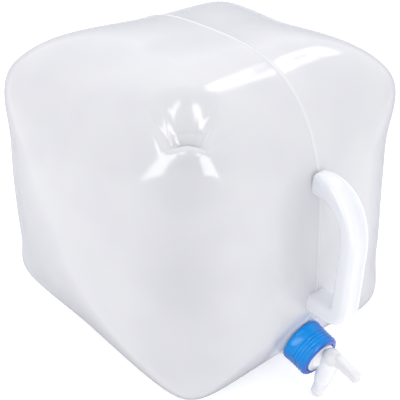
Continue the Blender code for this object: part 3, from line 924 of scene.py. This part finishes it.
# Stem with its flange, which fills the ring's mouth with a low dome
def makeStem():
    t = tap
    profile = [(t["stemBore"], t["spigotBack"]), (t["spigotRadius"] - 0.0003, t["spigotBack"]),
               (t["spigotRadius"], t["spigotBack"] + 0.0003), (t["spigotRadius"], t["flangeBack"]),
               (t["flangeRadius"], t["flangeBack"]), (t["flangeRadius"], t["flangeFront"])]
    profile += [(t["domeRadius"] + 0.0006, t["flangeFront"]),
                (t["domeRadius"], t["flangeFront"] + 0.0004),
                (t["domeRadius"] - 0.0003, t["flangeFront"] + 0.0028),
                (t["domeRadius"] - 0.0012, t["flangeFront"] + 0.0034)]
    for i in range(9):
        share = i / 8
        radius = t["domeRadius"] - 0.0016 + (t["stemRadius"] - t["domeRadius"] + 0.0016) * share
        lift = 0.0034 + 0.0036 * share ** 2.2
        profile.append((radius, t["flangeFront"] + lift))
    profile += [(t["stemRadius"], barrelPlace), (t["stemBore"], barrelPlace)]
    stem = turned("tapBody", profile, 96, closed=True)
    putOn(stem, neckTurn)
    cleanFaces(stem)
    return stem


# Barrel and spout, with a rounded rim at each end
def makeBarrel():
    t = tap
    lip = 0.0005
    profile = [(t["barrelBore"], t["barrelTop"] - lip), (t["barrelBore"] + lip, t["barrelTop"]),
               (t["barrelRadius"] - lip, t["barrelTop"]), (t["barrelRadius"], t["barrelTop"] - lip),
               (t["barrelRadius"], -t["barrelBottom"] + 0.003)]
    for i in range(13):
        share = i / 12
        ease = share * share * (3 - 2 * share)
        radius = t["barrelRadius"] + (t["spoutRadius"] - t["barrelRadius"]) * ease
        profile.append((radius, -t["barrelBottom"] + 0.001 - (t["taper"] + 0.001) * share))
    profile += [(t["spoutRadius"], -t["spoutLength"] + lip), (t["spoutRadius"] - lip, -t["spoutLength"]),
                (t["spoutBore"] + lip, -t["spoutLength"]), (t["spoutBore"], -t["spoutLength"] + lip),
                (t["spoutBore"], -t["seat"]), (t["barrelBore"], -t["seat"])]
    barrel = turned("tapBarrel", profile, 96, closed=True)
    putOn(barrel, barrelTurn)
    cleanFaces(barrel)
    return barrel


def makeTap():
    t = tap
    stem = makeStem()
    barrel = makeBarrel()
    # The stem's bore opens into the barrel
    low, high = t["coreReach"]
    cutRod(stem, "core", t["barrelBore"] + 0.0005, low, high, 64, barrelTurn)
    cutRod(barrel, "port", t["stemBore"], 0, barrelPlace, 64, neckTurn)
    applyModifier(stem, "BOOLEAN", "join", operation="UNION", solver="EXACT", object=barrel)
    bpy.data.objects.remove(barrel)
    cleanFaces(stem)
    shade(stem, 32)
    finishPiece(stem, tapPlastic, "tap_white", "tap", "tap_body")


makeTap()
print("tap made")

# Plug: a hollow shaft in the barrel, a domed head, and a long flat lever with a groove down each side
plug = {
    "radius": 0.0067,
    "bore": 0.0046,
    "headBottom": 0.0094,
    "headHeight": 0.0095,
    "headRadius": 0.0084,
    "dome": 0.0066,
    "bottom": -0.0142,
    "boreTop": 0.0032,
    "sealPlace": 0.0063,
    "sealDepth": 0.0016,
    "sealHalf": 0.0010,
    "beadPlace": -0.0118,
    "bead": 0.0005,
    "beadHalf": 0.0012,
    "port": 0.0040,
    "leverReach": 0.0303,
    "leverWidth": 0.0084,
    "leverRoot": 0.0093,
    "leverTip": 0.0095,
    "leverHollow": 0.0004,
    "tipStart": 0.86,               # shares of the lever's length, as the next three are
    "tipLength": 0.155,
    "hollowStart": (0.22, 0.30),
    "hollowEnd": (0.78, 0.86),
    "hollowHeight": (0.30, 0.62),   # shares of the way from its middle to its upper and lower face
    "tipNarrower": 0.55,            # shares of its width and of its thickness
    "tipThinner": 0.60,
}


# Head and shaft, with a groove for the seal and a low bead that snaps into the barrel
def makeShaft():
    p = plug
    domeFoot = p["headBottom"] + p["headHeight"] - p["dome"]
    profile = []
    for i in range(1, 13):
        angle = math.pi / 2 * i / 12
        profile.append((p["headRadius"] * math.sin(angle), domeFoot + p["dome"] * math.cos(angle)))
    groove = p["radius"] - p["sealDepth"]
    profile += [(p["headRadius"], p["headBottom"] + 0.0004), (p["headRadius"] - 0.0004, p["headBottom"]),
                (p["radius"], p["headBottom"]), (p["radius"], p["sealPlace"] + p["sealHalf"]),
                (groove, p["sealPlace"] + p["sealHalf"]), (groove, p["sealPlace"] - p["sealHalf"]),
                (p["radius"], p["sealPlace"] - p["sealHalf"])]
    for k in range(9):
        share = k / 8
        lift = p["bead"] * (1 - math.cos(2 * math.pi * share)) / 2
        profile.append((p["radius"] + lift, p["beadPlace"] + p["beadHalf"] * (1 - 2 * share)))
    profile += [(p["radius"], p["bottom"]), (p["bore"], p["bottom"]), (p["bore"], p["boreTop"])]
    body = turned("leverPlug", profile, 96)
    closeRims(body)
    cleanFaces(body)
    return body


# Lever: a cube drawn out to a rounded tip, with rounded edges and a long hollow in each side
def makeLever():
    p = plug
    deselectAll()
    middle = p["headBottom"] + p["leverTip"] / 2
    bpy.ops.mesh.primitive_cube_add(size=1)
    lever = bpy.context.object
    bpy.ops.object.mode_set(mode="EDIT")
    bpy.ops.mesh.select_all(action="SELECT")
    bpy.ops.mesh.subdivide(number_cuts=23)
    bpy.ops.object.mode_set(mode="OBJECT")
    unit = getPoints(lever)
    reach = 0.5 - unit[:, 1]
    tall = p["leverRoot"] + (p["leverTip"] - p["leverRoot"]) * smoothStep(0.0, 1.0, reach)
    toSide = np.abs(unit[:, 0] * 2)
    toTop = np.abs(unit[:, 2] * 2)
    most = np.maximum(np.maximum(toSide, toTop), 0.001)
    # Its section is rounded, with its corners drawn in
    share = most / (toSide ** 5 + toTop ** 5 + 0.0001) ** (1 / 5)
    nose = np.sqrt(np.clip(1 - (np.clip(reach - p["tipStart"], 0, 1) / p["tipLength"]) ** 2, 0, 1))
    x = unit[:, 0] * p["leverWidth"] * share * (1 - p["tipNarrower"] * (1 - nose))
    z = unit[:, 2] * tall * share * (1 - p["tipThinner"] * (1 - nose))
    y = -p["bore"] - (p["leverReach"] - p["bore"]) * reach
    hollow = smoothStep(*p["hollowStart"], reach) * (1 - smoothStep(*p["hollowEnd"], reach))
    hollow *= 1 - smoothStep(*p["hollowHeight"], toTop)
    x -= np.sign(x) * np.where(toSide > 0.9, p["leverHollow"] * hollow, 0)
    setPoints(lever, np.stack([x, y, z + middle], 1))
    return lever


def makePlug():
    body = makeShaft()
    lever = makeLever()
    applyModifier(body, "BOOLEAN", "lever", operation="UNION", solver="EXACT", object=lever)
    bpy.data.objects.remove(lever)
    # The hole in its side lets the water in
    cutRod(body, "sidePort", plug["port"], 0, 0.02, 48, Matrix.Rotation(math.pi / 2, 4, "Y"))
    putOn(body, barrelTurn)
    cleanFaces(body)
    shade(body, 32)
    finishPiece(body, leverPlastic, "tap_white", "plug", "lever_plug")


makePlug()
print("plug made")

# The washer and the seal stay as they are packed, in better materials
for nodeName, material in (("sealing_washer", washerRubber), ("plug_seal", sealRubber)):
    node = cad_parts[nodeName]
    for slotItem in node.material_slots:
        slotItem.material = material


# Studio: a white floor, and a white tent that is a little darker on the camera's side and brighter
# above, with softboxes outside its cloth
studio = {
    "floorSize": 14,
    "floorDrop": 0.0004,
    "floorGlow": 0.42,              # only as the camera and mirrors see it
    "tent": 1.185,
    "behind": 0.38,
    "above": 0.14,
    "away": (0.669, 0.743, 0),      # from the camera to the far side
    "tint": "#FDFDFF",
    "lamps": [
        # name, place, width and height, watts, only seen as a highlight
        ("leftSoftbox", (-1.477, -0.301, 1.45), (0.37, 2.8), 27.0, True),
        ("rightSoftbox", (-0.311, -1.467, 1.45), (0.70, 2.8), 50.0, True),
        ("backSoftbox", (1.307, 0.236, 1.506), (0.42, 0.17), 1.6, True),
        ("backSoftboxTop", (1.190, 0.079, 1.628), (0.17, 0.10), 0.45, True),
        ("topSoftbox", (0.2, 0.2, 2.2), (1.6, 1.6), 3.0, False),
    ],
}


def makeFloor():
    deselectAll()
    bpy.ops.mesh.primitive_plane_add(size=studio["floorSize"], location=(0, 0, -studio["floorDrop"]))
    floor = bpy.context.object
    floor.name = "floor"
    material, tree, shader, _ = startMaterial("palePaper")
    setShader(shader, color=hexColor("#FFFFFF"), rough=0.9)
    path = addNode(tree, "ShaderNodeLightPath")
    seen = addNode(tree, "ShaderNodeMath", {"operation": "MAXIMUM"}, {},
                   {0: path.outputs["Is Camera Ray"], 1: path.outputs["Is Glossy Ray"]})
    seenToo = addNode(tree, "ShaderNodeMath", {"operation": "MAXIMUM"}, {},
                      {0: seen.outputs[0], 1: path.outputs["Is Transmission Ray"]})
    glow = addNode(tree, "ShaderNodeMath", {"operation": "MULTIPLY"}, {1: studio["floorGlow"]},
                   {0: seenToo.outputs[0]})
    shader.inputs["Emission Color"].default_value = (1, 1, 1, 1)
    tree.links.new(glow.outputs[0], shader.inputs["Emission Strength"])
    floor.data.materials.append(material)


def makeTent():
    world = bpy.data.worlds.new("studioWorld")
    bpy.context.scene.world = world
    world.use_nodes = True
    tree = world.node_tree
    plain = tree.nodes["Background"]
    plain.inputs["Color"].default_value = hexColor(studio["tint"])
    coords = addNode(tree, "ShaderNodeTexCoord")
    slope = [studio["behind"] * part for part in studio["away"][:2]] + [studio["above"]]
    lean = addNode(tree, "ShaderNodeVectorMath", {"operation": "DOT_PRODUCT"}, {1: slope},
                   {0: coords.outputs["Generated"]})
    strength = addNode(tree, "ShaderNodeMath", {"operation": "ADD"}, {1: studio["tent"]},
                       {0: lean.outputs["Value"]})
    tree.links.new(strength.outputs[0], plain.inputs["Strength"])
    white = addNode(tree, "ShaderNodeBackground", {}, {"Color": (1, 1, 1, 1), "Strength": 1.0})
    path = addNode(tree, "ShaderNodeLightPath")
    mix = addNode(tree, "ShaderNodeMixShader", {}, {}, {0: path.outputs["Is Camera Ray"]})
    tree.links.new(plain.outputs[0], mix.inputs[1])
    tree.links.new(white.outputs[0], mix.inputs[2])
    tree.links.new(mix.outputs[0], tree.nodes["World Output"].inputs["Surface"])


def makeLamps():
    for name, place, size, power, shineOnly in studio["lamps"]:
        data = bpy.data.lights.new(name, "AREA")
        data.shape = "RECTANGLE"
        data.size, data.size_y = size
        data.energy = power
        lamp = bpy.data.objects.new(name, data)
        lamp.location = place
        # The tall strips stand upright, and the others look at the carrier's middle
        aim = Vector((0, 0, place[2] if size[1] > 2 else 0.15))
        lamp.rotation_euler = (aim - Vector(place)).to_track_quat("-Z", "Y").to_euler()
        lamp.visible_diffuse = not shineOnly
        bpy.context.scene.collection.objects.link(lamp)


def makeCamera():
    data = bpy.data.cameras.new("studioCamera")
    data.lens = camera["lens"]
    data.sensor_width = camera["sensor"]
    data.shift_y = camera["shift"]
    data.clip_start, data.clip_end = camera["reach"]
    eye = bpy.data.objects.new("studioCamera", data)
    right = Vector(camera["right"]).normalized()
    up = Vector(camera["up"])
    up = (up - up.dot(right) * right).normalized()
    back = right.cross(up)
    turn = Matrix((right, up, back)).transposed()
    eye.matrix_world = Matrix.Translation(camera["place"]) @ turn.to_4x4()
    bpy.context.scene.collection.objects.link(eye)
    bpy.context.scene.camera = eye


makeFloor()
makeTent()
makeLamps()
makeCamera()
bpy.context.scene.view_settings.view_transform = "Standard"
deselectAll()
print("studio made")
